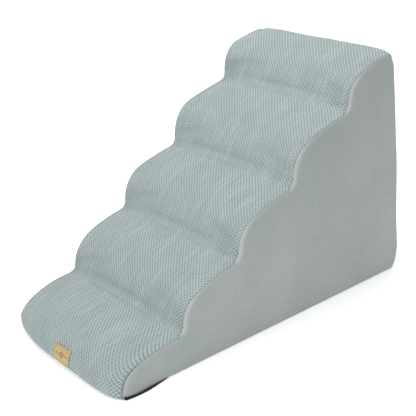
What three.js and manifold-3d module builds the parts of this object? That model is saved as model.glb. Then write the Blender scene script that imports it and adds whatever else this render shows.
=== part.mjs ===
// Dog ramp: a five-step foam wave ramp in a sewn, zipped cover.
// Millimetres, +Z up. X is the width, Y the length: the low nose is at -Y and the tall back at +Y.
// The origin is on the floor, under the middle of the whole ramp, zip bridge and label included.
import * as THREE from "three";
import { mergeVertices } from "three/addons/utils/BufferGeometryUtils.js";
import Module from "manifold-3d";

const wasm = await Module();
wasm.setup();

// ---- driving dimensions ----
const WIDTH = 400;
const STEP_RUNS = [142, 145, 149, 156, 126];
const STEP_RISES = [73, 100, 103, 111, 93];
const NOSE = { lean: 93.5, slope: 3, riserHandle: 0.49, treadHandle: 0.92 };
const STEP = { lean: 87.75, slope: 11.25, riserHandle: 0.63, treadHandle: 0.76 };
// Between the side panels the nose starts this far in front of their front ends.
const NOSE_BOW = 12;
const VALLEY_TRIM = 20;
const NOSE_TUCK = 12;
const HEEL_RADIUS = 18;
const GAP = 0.3;
const LIFT = 0.5;
const TOP_FABRIC = 4;
const SUEDE = 2.5;
const COMFORT_SHIFT = [18, -24];
const BASE_THICKNESS = 2.2;
const BACK_SLACK = 5;
const BACK_SEAM_GAP = 1;

const LENGTH = STEP_RUNS.reduce((sum, run) => sum + run, 0);
const HEIGHT = STEP_RISES.reduce((sum, rise) => sum + rise, 0);
const SIDE_X = WIDTH / 2;
const INNER_WIDTH = WIDTH - 2 * (SUEDE + GAP);

// The front corners of the side panels are drawn up, so the black base shows beneath them:
// a thin lip runs out under each side, and a low wedge stands up from it.
const RIM_RISE = 6;
const RIM_START = 4;
const RIM_END = 45;
const RIM_WEDGE = { end: RIM_END - 4, height: RIM_RISE - 1.5 };
const RIM_LIP = { end: RIM_END - 8, height: 1.2 };

const LABEL = { width: 58, x: 18, from: 13, to: 49, thickness: 1.2 };

const ZIP = { z: 64, length: 330, gap: 1.2, coil: 2.6, coilDepth: 2, tape: 14, tapeThickness: 0.9, window: 6.5 };
const TAPE_END = 12;
const SLIDER = { length: 14, width: 11, plate: 1.3, flange: 1.4, web: 0.6, x: 157 };
const WEB_FROM = -2;
const WEB_TO = 4;
const WELD = 0.4;
const BRIDGE = { length: 8, width: 1.8, bar: 1.3, foot: 1.4, rise: 2.0 };
const PULL = { length: 26, width: 7, thickness: 1.2, holeStart: 0.7, holeEnd: 5.2, hole: 3.2, barHeight: 1.0 };
const STOP = { length: 5, width: 8, depth: 2.6 };
const CARE = { width: 30, height: 34, thickness: 0.7, x: -150, z: 54 };

// ---- finishes ----
const finish = (color, roughness, metalness = 0) => new THREE.MeshStandardMaterial({ color, roughness, metalness });
const TEXTURED = finish(0xa4b6b5, 0.95);
const SUEDE_GREY = finish(0x9ba5a3, 0.9);
const BLACK_BASE = finish(0x1d2423, 0.85);
const FIRM_FOAM = finish(0xe9e6da, 0.98);
const SOFT_FOAM = finish(0xf3efe4, 0.98);
const TAN = finish(0xbea876, 0.6);
const TAPE_GREY = finish(0x8f9997, 0.85);
const COIL_GREY = finish(0x9aa3a1, 0.45);
const STEEL = finish(0x8b8f90, 0.35, 0.9);
const SATIN = finish(0xf1f1ee, 0.5);

// ---- outlines in the (y, z) plane, y from the front of the nose ----
const polar = (degrees, length) => {
  const angle = THREE.MathUtils.degToRad(degrees);
  return new THREE.Vector2(Math.cos(angle) * length, Math.sin(angle) * length);
};

// One step: up a steep riser, over a round edge and back along a gently rising tread.
function stepCurve(start, run, rise, form) {
  const end = start.clone().add(new THREE.Vector2(run, rise));
  const riserHandle = start.clone().add(polar(form.lean, form.riserHandle * rise));
  const treadHandle = end.clone().sub(polar(form.slope, form.treadHandle * run));
  return new THREE.CubicBezierCurve(start, riserHandle, treadHandle, end);
}

// The outer line of the cover, from the tuck under the nose to the top rear edge,
// with the nose moved forward by the bow.
function waveOutline(bow) {
  const points = arcPoints(NOSE_TUCK - bow, NOSE_TUCK + LIFT, NOSE_TUCK, 270, 180, 4).slice(0, -1);
  const corner = new THREE.Vector2(-bow, 0);
  [STEP_RUNS[0] + bow, ...STEP_RUNS.slice(1)].forEach((run, index) => {
    const curve = stepCurve(corner.clone(), run, STEP_RISES[index], index === 0 ? NOSE : STEP);
    const length = curve.getLength();
    const first = index === 0 ? NOSE_TUCK + LIFT : VALLEY_TRIM;
    const last = index === STEP_RUNS.length - 1 ? length : length - VALLEY_TRIM;
    const span = [];
    for (let i = 0; i <= 10; i += 1) span.push(curve.getPointAt((first + ((last - first) * i) / 10) / length));
    if (index > 0) {
      const valley = new THREE.QuadraticBezierCurve(points[points.length - 1], corner.clone(), span[0]);
      points.push(...valley.getPoints(4).slice(1, -1));
    }
    points.push(...span);
    corner.add(new THREE.Vector2(run, STEP_RISES[index]));
  });
  return points;
}

function arcPoints(cy, cz, radius, fromDegrees, toDegrees, steps) {
  const points = [];
  for (let i = 0; i <= steps; i += 1) {
    const out = polar(fromDegrees + ((toDegrees - fromDegrees) * i) / steps, radius);
    points.push(new THREE.Vector2(cy + out.x, cz + out.y));
  }
  return points;
}

// The same line moved inwards, to the right of its direction of travel.
function inset(points, distance) {
  return points.map((point, i) => {
    const before = points[Math.max(i - 1, 0)];
    const after = points[Math.min(i + 1, points.length - 1)];
    const along = after.clone().sub(before).normalize();
    return new THREE.Vector2(point.x + along.y * distance, point.y - along.x * distance);
  });
}

const shifted = (points, dy, dz) => points.map((p) => new THREE.Vector2(p.x + dy, p.y + dz));

// Cuts a line off below a height and behind a length, with clean end points.
function clipped(points, lowest, furthest) {
  const kept = [];
  points.forEach((p, i) => {
    const next = points[i + 1];
    if (p.y >= lowest && p.x <= furthest) kept.push(p);
    if (!next) return;
    const crosses = (a, b, limit) => (a - limit) * (b - limit) < 0;
    if (crosses(p.y, next.y, lowest)) kept.push(p.clone().lerp(next, (lowest - p.y) / (next.y - p.y)));
    if (crosses(p.x, next.x, furthest)) kept.push(p.clone().lerp(next, (furthest - p.x) / (next.x - p.x)));
  });
  return kept;
}

// ---- solids ----
// A solid of one (y, z) outline, running from xLow to xHigh.
function prism(outline, xLow, xHigh) {
  const geometry = new THREE.ExtrudeGeometry(new THREE.Shape(outline), { depth: xHigh - xLow, bevelEnabled: false });
  geometry.applyMatrix4(new THREE.Matrix4().makeBasis(
    new THREE.Vector3(0, 1, 0), new THREE.Vector3(0, 0, 1), new THREE.Vector3(1, 0, 0)));
  return geometry.translate(xLow, 0, 0);
}

// A box between two corners, with y from the front of the nose.
function block(x0, x1, y0, y1, z0, z1) {
  return new THREE.BoxGeometry(x1 - x0, y1 - y0, z1 - z0)
    .translate((x0 + x1) / 2, (y0 + y1) / 2, (z0 + z1) / 2);
}

function toManifold(geometry) {
  const bare = geometry.clone();
  bare.deleteAttribute("normal");
  bare.deleteAttribute("uv");
  const merged = mergeVertices(bare, 1e-4);
  return new wasm.Manifold(new wasm.Mesh({
    numProp: 3,
    vertProperties: new Float32Array(merged.attributes.position.array),
    triVerts: new Uint32Array(merged.index.array),
  }));
}

function toGeometry(solid) {
  const mesh = solid.getMesh();
  const geometry = new THREE.BufferGeometry();
  geometry.setAttribute("position", new THREE.BufferAttribute(new Float32Array(mesh.vertProperties), 3));
  geometry.setIndex(new THREE.BufferAttribute(new Uint32Array(mesh.triVerts), 1));
  geometry.computeVertexNormals();
  return geometry;
}

const joined = (geometries) => toGeometry(geometries.map(toManifold).reduce((sum, solid) => sum.add(solid)));
const cut = (geometry, tool) => toGeometry(toManifold(geometry).subtract(toManifold(tool)));

const ramp = new THREE.Group();
function add(name, geometry, material) {
  const mesh = new THREE.Mesh(geometry, material);
  mesh.name = name;
  ramp.add(mesh);
}

// ---- cover: the textured top ----
const OUTER = waveOutline(NOSE_BOW);
const FABRIC_INNER = inset(OUTER, TOP_FABRIC);
const topOutline = [
  ...OUTER,
  new THREE.Vector2(LENGTH, HEIGHT - TOP_FABRIC),
  ...FABRIC_INNER.slice(1, -1).reverse(),
  new THREE.Vector2(NOSE_TUCK - NOSE_BOW, TOP_FABRIC + LIFT),
];
add("top_panel", prism(topOutline, -INNER_WIDTH / 2, INNER_WIDTH / 2), TEXTURED);

// ---- cover: the suede sides, drawn up a little at the front ----
function sideOutline() {
  const wave = clipped(waveOutline(0), RIM_RISE + GAP, LENGTH);
  const heel = arcPoints(LENGTH - HEEL_RADIUS, HEEL_RADIUS + LIFT, HEEL_RADIUS, 0, -90, 5);
  return [...wave, ...heel, new THREE.Vector2(RIM_END, LIFT)];
}
add("right_side_panel", prism(sideOutline(), SIDE_X - SUEDE, SIDE_X), SUEDE_GREY);
add("left_side_panel", prism(sideOutline(), -SIDE_X, -SIDE_X + SUEDE), SUEDE_GREY);

// ---- cover: the black anti-slip base, with a low rim up each front corner ----
const wedge = ({ end, height }) => [[RIM_START, 0], [end, 0], [RIM_START, height]]
  .map(([y, z]) => new THREE.Vector2(y, z));
const baseEnd = LENGTH - HEEL_RADIUS - GAP;
add("base_panel", joined([
  block(-INNER_WIDTH / 2, INNER_WIDTH / 2, NOSE_TUCK - NOSE_BOW + GAP, baseEnd, 0, BASE_THICKNESS),
  prism(wedge(RIM_LIP), -SIDE_X, SIDE_X),
  prism(wedge(RIM_WEDGE), SIDE_X - SUEDE + GAP, SIDE_X),
  prism(wedge(RIM_WEDGE), -SIDE_X, -SIDE_X + SUEDE - GAP),
]), BLACK_BASE);

// ---- cover: the back, in two panels with the zip between them ----
const BACK_INNER = LENGTH - SUEDE;
const heelPanel = [
  ...arcPoints(LENGTH - HEEL_RADIUS, HEEL_RADIUS + LIFT, HEEL_RADIUS, -90, 0, 6),
  new THREE.Vector2(LENGTH, ZIP.z - ZIP.window),
  new THREE.Vector2(BACK_INNER, ZIP.z - ZIP.window),
  ...arcPoints(LENGTH - HEEL_RADIUS, HEEL_RADIUS + LIFT, HEEL_RADIUS - SUEDE, 0, -90, 6),
];
add("back_lower_panel", prism(heelPanel, -INNER_WIDTH / 2, INNER_WIDTH / 2), SUEDE_GREY);
add("back_upper_panel", block(-INNER_WIDTH / 2, INNER_WIDTH / 2, BACK_INNER, LENGTH,
  ZIP.z + ZIP.window, HEIGHT - TOP_FABRIC - BACK_SEAM_GAP), SUEDE_GREY);

// ---- foam: a firm core, and a softer layer glued over its steps ----
const foamBack = LENGTH - SUEDE - BACK_SLACK;
const foamFloor = BASE_THICKNESS + GAP;
const softLine = clipped(inset(OUTER, TOP_FABRIC + GAP).slice(3), foamFloor, foamBack);
const coreLine = clipped(shifted(softLine, ...COMFORT_SHIFT), foamFloor, foamBack);
const underSoft = clipped(shifted(softLine, COMFORT_SHIFT[0] - GAP, COMFORT_SHIFT[1] + GAP), foamFloor, foamBack);
add("soft_foam_layer", prism([...softLine, ...underSoft.reverse()], -INNER_WIDTH / 2, INNER_WIDTH / 2), SOFT_FOAM);
const coreHeel = HEEL_RADIUS;
add("firm_foam_core", prism([
  ...coreLine,
  new THREE.Vector2(foamBack, foamFloor + coreHeel),
  new THREE.Vector2(foamBack - coreHeel, foamFloor),
], -INNER_WIDTH / 2, INNER_WIDTH / 2), FIRM_FOAM);

// ---- label, sewn on the front of the nose and curved with it ----
// The part of a line that lies between two distances along it.
function stretch(points, from, to) {
  const picked = [];
  let travelled = 0;
  for (let i = 0; i + 1 < points.length; i += 1) {
    const step = points[i].distanceTo(points[i + 1]);
    for (const limit of [from, to]) {
      const share = (limit - travelled) / step;
      if (share >= 0 && share < 1) picked.push(points[i].clone().lerp(points[i + 1], share));
    }
    travelled += step;
    if (travelled > from && travelled < to) picked.push(points[i + 1].clone());
  }
  return picked;
}
const labelBack = stretch(inset(OUTER, -GAP), LABEL.from, LABEL.to);
const labelFront = stretch(inset(OUTER, -GAP - LABEL.thickness), LABEL.from, LABEL.to);
add("label_patch", prism([...labelFront, ...labelBack.reverse()],
  LABEL.x - LABEL.width / 2, LABEL.x + LABEL.width / 2), TAN);

add("care_label", block(CARE.x - CARE.width / 2, CARE.x + CARE.width / 2,
  LENGTH + GAP, LENGTH + GAP + CARE.thickness, CARE.z - CARE.height, CARE.z), SATIN);

// ---- zip: two tapes behind the panels, each carrying a row of coil teeth ----
const tapeBack = BACK_INNER - GAP - ZIP.tapeThickness;
const tapeFront = BACK_INNER - GAP;
const coilBack = tapeFront + GAP;
const zipHalf = ZIP.length / 2;
for (const [side, sign] of [["upper", 1], ["lower", -1]]) {
  const near = ZIP.z + (sign * ZIP.gap) / 2;
  const tapeFar = near + sign * ZIP.tape;
  const coilFar = near + sign * ZIP.coil;
  add(`zip_tape_${side}`, block(-zipHalf - TAPE_END, zipHalf + TAPE_END, tapeBack, tapeFront,
    Math.min(near, tapeFar), Math.max(near, tapeFar)), TAPE_GREY);
  add(`zip_teeth_${side}`, block(-zipHalf, zipHalf, coilBack, coilBack + ZIP.coilDepth,
    Math.min(near, coilFar), Math.max(near, coilFar)), COIL_GREY);
}
for (const [name, sign] of [["zip_end_stop", -1], ["zip_top_stop", 1]]) {
  const near = sign * (zipHalf + GAP);
  const far = near + sign * STOP.length;
  add(name, block(Math.min(near, far), Math.max(near, far), coilBack, coilBack + STOP.depth,
    ZIP.z - STOP.width / 2, ZIP.z + STOP.width / 2), STEEL);
}

// ---- slider: two plates round the teeth, joined by a thin web between the rows, and a bridge ----
const plateBack = coilBack + ZIP.coilDepth + GAP;
const plateFront = plateBack + SLIDER.plate;
const flangeInner = ZIP.gap / 2 + ZIP.coil + GAP;
const lowerFront = tapeBack - GAP;
const sliderX = (offset) => SLIDER.x + offset;
const halfSlider = SLIDER.length / 2;
function flange(sign) {
  const near = ZIP.z + sign * flangeInner;
  const far = near + sign * SLIDER.flange;
  return block(sliderX(-halfSlider), sliderX(halfSlider), coilBack + GAP, plateBack + WELD,
    Math.min(near, far), Math.max(near, far));
}
function bridgeFoot(sign) {
  const outer = sign * (BRIDGE.length / 2);
  const inner = outer - sign * BRIDGE.foot;
  return block(sliderX(Math.min(outer, inner)), sliderX(Math.max(outer, inner)), plateFront - WELD,
    plateFront + BRIDGE.rise + BRIDGE.bar, ZIP.z - BRIDGE.width / 2, ZIP.z + BRIDGE.width / 2);
}
add("zip_slider", joined([
  block(sliderX(-halfSlider), sliderX(halfSlider), plateBack, plateFront,
    ZIP.z - SLIDER.width / 2, ZIP.z + SLIDER.width / 2),
  flange(1),
  flange(-1),
  block(sliderX(WEB_FROM), sliderX(WEB_TO), lowerFront - WELD, plateBack + WELD,
    ZIP.z - SLIDER.web / 2, ZIP.z + SLIDER.web / 2),
  block(sliderX(-halfSlider), sliderX(halfSlider), lowerFront - SLIDER.plate, lowerFront,
    ZIP.z - SLIDER.width / 2, ZIP.z + SLIDER.width / 2),
  bridgeFoot(1),
  bridgeFoot(-1),
  block(sliderX(-BRIDGE.length / 2), sliderX(BRIDGE.length / 2), plateFront + BRIDGE.rise,
    plateFront + BRIDGE.rise + BRIDGE.bar, ZIP.z - BRIDGE.width / 2, ZIP.z + BRIDGE.width / 2),
]), STEEL);

// ---- pull tab: its crossbar turns under the bridge, and at rest it lies back along the closed teeth ----
const pivotY = plateFront + PULL.barHeight;
const halfPull = PULL.thickness / 2;
const tab = block(sliderX(-PULL.length), sliderX(halfPull), pivotY - halfPull, pivotY + halfPull,
  ZIP.z - PULL.width / 2, ZIP.z + PULL.width / 2);
const eye = block(sliderX(-PULL.holeEnd), sliderX(-PULL.holeStart), pivotY - PULL.width, pivotY + PULL.width,
  ZIP.z - PULL.hole / 2, ZIP.z + PULL.hole / 2);
add("zip_pull", cut(tab, eye), STEEL);

const box = new THREE.Box3().setFromObject(ramp);
ramp.position.y = -(box.min.y + box.max.y) / 2;

export default ramp;
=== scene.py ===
import math

import bmesh
import bpy
import numpy as np
from mathutils import Euler, Matrix, Vector, noise
from mathutils.geometry import delaunay_2d_cdt


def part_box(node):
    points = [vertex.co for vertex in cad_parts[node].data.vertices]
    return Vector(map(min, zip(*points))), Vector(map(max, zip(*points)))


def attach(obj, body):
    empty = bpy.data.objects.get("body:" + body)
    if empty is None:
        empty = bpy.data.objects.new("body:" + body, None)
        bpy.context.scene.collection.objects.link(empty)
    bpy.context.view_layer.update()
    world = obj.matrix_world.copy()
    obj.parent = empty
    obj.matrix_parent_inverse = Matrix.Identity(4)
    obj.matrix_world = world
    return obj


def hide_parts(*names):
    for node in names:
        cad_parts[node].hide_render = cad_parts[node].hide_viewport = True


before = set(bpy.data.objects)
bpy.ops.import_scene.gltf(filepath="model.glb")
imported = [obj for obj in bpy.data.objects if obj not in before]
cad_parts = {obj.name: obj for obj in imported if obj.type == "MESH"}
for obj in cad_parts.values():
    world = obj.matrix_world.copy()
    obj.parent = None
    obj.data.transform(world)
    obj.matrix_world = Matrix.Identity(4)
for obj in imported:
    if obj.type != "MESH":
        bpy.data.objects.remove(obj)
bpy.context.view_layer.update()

# Metres. X is the width, Y runs from the low nose to the tall back, and Z is up.
# Outlines are worked out with y from the front of the nose, and moved to the row frame at the end.
MM = 0.001

# ---- the steps, as in the CAD model; two handles bend each step's curve from riser to tread ----
WIDTH = 400 * MM
STEP_RUNS = [142 * MM, 145 * MM, 149 * MM, 156 * MM, 126 * MM]
STEP_RISES = [73 * MM, 100 * MM, 103 * MM, 111 * MM, 93 * MM]
NOSE = {"lean": 93.5, "slope": 3, "riser_handle": 0.49, "tread_handle": 0.92}
STEP = {"lean": 87.75, "slope": 11.25, "riser_handle": 0.63, "tread_handle": 0.76}
VALLEY_TRIM = 20 * MM  # where a valley's fillet starts, along the curve from the sharp corner
NOSE_TUCK = 5 * MM  # radius of the top's turn under the nose
LIFT = 0.5 * MM  # the cover's underside above the floor
HEEL_RADIUS = 18 * MM
RIM_RISE, RIM_END = 5.5 * MM, 38 * MM  # how high the base stands beside the nose, and where it ends
TOP_FABRIC, SUEDE = 4 * MM, 2.5 * MM
COMFORT_SHIFT = (18 * MM, -24 * MM)  # from the soft layer's upper face to its lower one
BACK_SLACK = 5 * MM  # between the foam and the back panels
ZIP_Z, ZIP_LENGTH, ZIP_WINDOW = 64 * MM, 330 * MM, 6.5 * MM
LENGTH = sum(STEP_RUNS)
HEIGHT = sum(STEP_RISES)
VALLEYS = np.cumsum([STEP_RUNS, STEP_RISES], 1).T[:-1]  # (y, z) of each corner between two steps
SIDE_X = WIDTH / 2
BACK_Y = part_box("top_panel")[1].y
NOSE_Y = BACK_Y - LENGTH

# ---- soft shape that the CAD model leaves out ----
NOSE_BOW, NOSE_BOW_REACH = 24 * MM, 140 * MM  # the nose's forward bow, and how far back it fades out
BOW_SHARPNESS = {"right": 12, "left": 3}  # how tightly the bow turns at each side
CORNER_SPREAD = {"right": 9 * MM, "left": -3 * MM}  # forward, at the nose's corners on the floor
CORNER_WIDER = 4 * MM
NOSE_FULLNESS = 10 * MM
REAR_CROWN = 4 * MM
REAR_LEAN = 7 * MM  # how far the back leans out above its middle
REAR_TUCK = 9 * MM  # how far its foot tucks in
LEFT_FULLNESS = 2.5 * MM
LEFT_SHOULDERS = [-4 * MM, 0 * MM, 4 * MM, 6 * MM, 9 * MM]  # a bulge on each step, from the nose up
SHOULDER_REACH = 45 * MM
BASE_FLARE = 8.5 * MM  # how far the base's edge spreads out beside the front corners
BRIDGING = 38 * MM  # over what length the cover smooths out a valley
DROOP, DROOP_REACH = 3.5 * MM, 14 * MM  # of the top rear corners

# ---- the weave of the top: a staggered lattice of soft pits ----
WEAVE_X = 8.8 * MM
WEAVE_S = 8.2 * MM
CELLS_PER_PERIOD = 4
HALF_COLUMNS = 84  # evenly spaced columns of points on each side of the middle
RELIEF = 0.6 * MM

# ---- the sewn edges ----
REAR_ROLL = 5 * MM
SEAM_DEPTH = 1.6 * MM
SEAM_IN = 0.8 * MM
WRAP_IN = 5.6 * MM  # how much further in the seam lies where the suede wraps round a riser
ALLOWANCE = 7 * MM

# ---- how the foam presses the cover out, and the most that it may move each panel ----
SWELL_ROWS, SWELL_COLUMNS = 114, 41
TOP_PRESSURE = 4.0
TOP_CAP = 11 * MM
SIDE_PRESSURE = 2.0
SIDE_CAP = 4 * MM
SIDE_SPACING = 5 * MM
BACK_PRESSURE = 1.0
BACK_CAP = 3 * MM
PUCKER = 1.0 * MM
CREASE = 0.9 * MM
HEM_STITCH = 3.5 * MM

# ---- the base: cloth, with its edge's (x, share of the flare, height, share of the rim's rise) ----
BASE_END = LENGTH - HEEL_RADIUS - 0.4 * MM
BASE_Z = 1.3 * MM
BASE_HALF = 190 * MM
BASE_EDGE = [
    (195 * MM, 0.3, BASE_Z, 0.0),
    (198 * MM, 0.8, 0.5 * MM, 0.0),
    (198.8 * MM, 1.0, 0.5 * MM, 0.1),
    (199.2 * MM, 0.9, 1.4 * MM, 0.4),
    (199.3 * MM, 0.5, 1.8 * MM, 0.8),
    (198.6 * MM, 0.0, 1.6 * MM, 1.2),
]
DOT_PITCH, DOT_RADIUS = 13 * MM, 2.3 * MM

# ---- the label, with its edge's (inset in mm, share of the lift, darkness), and the care tab ----
LABEL_X, LABEL_WIDTH = 18 * MM, 58 * MM
LABEL_FROM, LABEL_TO = 13 * MM, 49 * MM
LABEL_CORNER = 3 * MM
LABEL_LIFT = 1.5 * MM
LABEL_EDGE = [(0, -0.6, 0.8), (0, 0.75, 0.7), (0.35, 1.0, 0.5), (0.9, 1.06, 0.0), (2, 1.0, 0.0)]
CARE_WIDTH, CARE_HEIGHT = 30 * MM, 34 * MM
CARE_X, CARE_TOP = -150 * MM, 54 * MM

# ---- the foam, the back and the zip ----
FOAM_HALF = 186 * MM
FOAM_FLOOR = 3 * MM
BACK_HALF = SIDE_X - SEAM_IN
WINDOW_OPEN, WINDOW_SHUT = 168 * MM, 179 * MM
TEETH_BACK = LENGTH - SUEDE
TAPE_Y = TEETH_BACK - 0.75 * MM
TAPE_HALF = 177 * MM
SLIDER_X = 157 * MM
PLATE = 1.3 * MM
PLATE_BACK = TEETH_BACK + 2.3 * MM
PLATE_FRONT = PLATE_BACK + PLATE
PULL_THICKNESS = 1.2 * MM

# ---- the studio: (place, size, power) of each lamp, all aimed at the ramp's middle ----
LAMPS = {
    "top_light": ((-0.6, 0.6, 3.2), 2.4, 62),
    "front_light": ((2.4, -2.0, 1.9), 1.8, 42),
}
LAMP_AIM = (0, 0, 0.25)
SURROUNDINGS = 0.55  # strength of the even light from all round
FLOOR_HALF = 12.0
FLOOR_GLOW = (1.5, 3.5, 0.28, 1.0)  # from and to these distances, from and to these strengths

# ---- the main view: a close camera that is tilted a little ----
CAMERA_PLACE = (1.6111, NOSE_Y - 0.7674, 1.0290)
CAMERA_YAW, CAMERA_PITCH, CAMERA_ROLL = 54.81, 22.85, -6.18
CAMERA_LENS = 89.06


# ======== Numbers and lines ========
def smoothstep(low, high, value):
    share = np.clip((value - low) / (high - low), 0, 1)
    return share * share * (3 - 2 * share)


def heading(degrees):
    return np.array([math.cos(math.radians(degrees)), math.sin(math.radians(degrees))])


def lengths_along(points):
    return np.r_[0, np.cumsum(np.linalg.norm(np.diff(points, axis=0), axis=1))]


def read_between(places, known, rows):
    """Rows of values that are known at some places, read at these others."""
    return np.stack([np.interp(places, known, column) for column in rows.T], 1)


def sampled(points, places):
    """The points of a line at these distances along it."""
    return read_between(places, lengths_along(points), points)


def arc(centre, radius, start, end, steps=12):
    """An arc in the (y, z) plane, in degrees."""
    return np.array([np.array(centre) + radius * heading(a) for a in np.linspace(start, end, steps)])


def unit(vectors):
    """The same directions with a length of 1."""
    return vectors / np.linalg.norm(vectors, axis=-1, keepdims=True)


def cubic(a, b, c, d, steps=160):
    t = np.linspace(0, 1, steps)[:, None]
    return a * (1 - t) ** 3 + 3 * b * t * (1 - t) ** 2 + 3 * c * t * t * (1 - t) + d * t ** 3


def step_line():
    """The cover's outer line, from the tuck under the nose to the top rear edge, closely spaced."""
    pieces = [arc((NOSE_TUCK, NOSE_TUCK + LIFT), NOSE_TUCK, 270, 184)]
    corner = np.zeros(2)
    for index, (run, rise) in enumerate(zip(STEP_RUNS, STEP_RISES)):
        form = NOSE if index == 0 else STEP
        end = corner + (run, rise)
        handle = corner + form["riser_handle"] * rise * heading(form["lean"])
        other = end - form["tread_handle"] * run * heading(form["slope"])
        curve = cubic(corner, handle, other, end)
        total = lengths_along(curve)[-1]
        first = NOSE_TUCK + LIFT if index == 0 else VALLEY_TRIM
        last = total if index == len(STEP_RUNS) - 1 else total - VALLEY_TRIM
        span = sampled(curve, np.linspace(first, last, 160))
        if index:
            t = np.linspace(0, 1, 24)[1:-1, None]
            before = pieces[-1][-1]
            pieces.append(before * (1 - t) ** 2 + 2 * corner * t * (1 - t) + span[0] * t * t)
        pieces.append(span)
        corner = end
    return np.concatenate(pieces)


def rounded_rear(line, radius):
    """The line with its sharp rear end turned down the back through an arc."""
    kept = line[line[:, 0] < LENGTH - radius]
    slope = math.degrees(math.atan2(*(kept[-1] - kept[-2])[::-1]))
    centre = kept[-1] - radius * heading(90 + slope)
    return np.concatenate([kept, arc(centre, radius, 90 + slope, 0)[1:]])


def outward(points, closed=False):
    """Unit normals on the left of a line's direction, so outside a cover's outline."""
    ends = (np.roll(points, 1, 0), np.roll(points, -1, 0)) if closed else (
        points[np.maximum(np.arange(len(points)) - 1, 0)],
        points[np.minimum(np.arange(len(points)) + 1, len(points) - 1)])
    along = unit(ends[1] - ends[0])
    return np.stack([-along[:, 1], along[:, 0]], 1)


def by_side(x, values):
    """The right side's value where x is positive, and the left side's elsewhere."""
    return np.where(x > 0, values["right"], values["left"])


def in_row(x, y, z):
    """Points with y from the nose, in the row frame."""
    return np.stack(np.broadcast_arrays(x, y + NOSE_Y, z), -1)


def placed(x, y, z):
    """Points of the cover in the row frame, with the soft bows and bulges that its plain outline lacks."""
    across = np.clip(np.abs(x) / SIDE_X, 0, 1)
    forward = NOSE_BOW * (1 - across ** by_side(x, BOW_SHARPNESS)) * (1 - smoothstep(0, NOSE_BOW_REACH, y))
    over_nose = smoothstep(0, 55 * MM, z) * (1 - smoothstep(40 * MM, NOSE_BOW_REACH, y))
    forward = forward + NOSE_FULLNESS * (1 - across ** 2) * over_nose
    at_floor = 1 - smoothstep(0, 20 * MM, z)
    at_corner = at_floor * across ** 16
    forward = forward + by_side(x, CORNER_SPREAD) * at_corner * (1 - smoothstep(0, 40 * MM, y))
    wider = CORNER_WIDER * np.sign(x) * at_corner * (1 - smoothstep(10 * MM, 80 * MM, y))
    lean = REAR_LEAN * smoothstep(90 * MM, 260 * MM, z) * (1 - smoothstep(HEIGHT - 35 * MM, HEIGHT, z))
    lean = lean - REAR_TUCK * (1 - smoothstep(0, 54 * MM, z))
    forward = forward - lean * smoothstep(LENGTH - 60 * MM, LENGTH - 10 * MM, y)
    from_corner = ((SIDE_X - np.abs(x)) ** 2 + (LENGTH - y) ** 2) / DROOP_REACH ** 2
    up = -DROOP * np.exp(-from_corner) * smoothstep(HEIGHT - 4 * DROOP_REACH, HEIGHT, z)
    up = up + REAR_CROWN * (1 - across ** 4) * smoothstep(HEIGHT - 80 * MM, HEIGHT, z)
    corner = np.zeros(2)
    for run, rise, fullness in zip(STEP_RUNS, STEP_RISES, LEFT_SHOULDERS):
        away = (y - corner[0] - 0.23 * run) ** 2 + (z - corner[1] - 0.66 * rise) ** 2
        bulge = fullness * np.exp(-away / SHOULDER_REACH ** 2) * smoothstep(0.2, 1, -x / SIDE_X)
        bulge = bulge * smoothstep(10 * MM, 40 * MM, z)
        forward, up = forward + 0.6 * bulge, up + 0.8 * bulge
        corner = corner + (run, rise)
    return in_row(x + wider, y - forward, z + up)


def blurred(values, passes):
    """A grid of values smoothed along both of its directions, with its edges kept."""
    for _ in range(passes):
        for axis in (0, 1):
            values = np.moveaxis(values, axis, 0)
            middle = (values[:-2] + 2 * values[1:-1] + values[2:]) / 4
            values = np.concatenate([values[:1], middle, values[-1:]])
            values = np.moveaxis(values, 0, axis)
    return values


def cloudy(points, scale, seed):
    """Smooth noise from about -1 to 1 at each point, with features of that size in metres."""
    offset = Vector((seed * 7.31, seed * 3.17, seed * 5.93))
    return np.array([noise.noise(Vector(p) / scale + offset) for p in points])


# ======== Meshes ========
def grid_faces(rows, columns):
    corner = (np.arange(rows - 1)[:, None] * columns + np.arange(columns - 1)[None]).ravel()
    return np.stack([corner, corner + 1, corner + columns + 1, corner + columns], 1)


def band_faces(first, second, count):
    """Faces between two closed rings of points, given the number of each ring's first point."""
    pairs = [(i, (i + 1) % count) for i in range(count)]
    return [[first + i, second + i, second + j, first + j] for i, j in pairs]


def mesh_object(name, points, faces, material, smooth=True, **attributes):
    """A new object from points and faces, with named values for each point that its material reads."""
    mesh = bpy.data.meshes.new(name)
    mesh.from_pydata(np.asarray(points).reshape(-1, 3).tolist(), [], np.asarray(faces, object).tolist())
    mesh.materials.append(material)
    for key, values in attributes.items():
        values = np.asarray(values, np.float32)
        kind, field = ("FLOAT_VECTOR", "vector") if values.ndim > 1 else ("FLOAT", "value")
        mesh.attributes.new(key, kind, "POINT").data.foreach_set(field, values.ravel())
    mesh.polygons.foreach_set("use_smooth", [smooth] * len(mesh.polygons))
    obj = bpy.data.objects.new(name, mesh)
    bpy.context.collection.objects.link(obj)
    return obj


def finished(obj, body, slot, *nodes):
    """Puts a piece on its body, and hides the CAD nodes it stands for; its finish is not used."""
    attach(obj, body)
    if nodes:
        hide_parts(*nodes)


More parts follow.
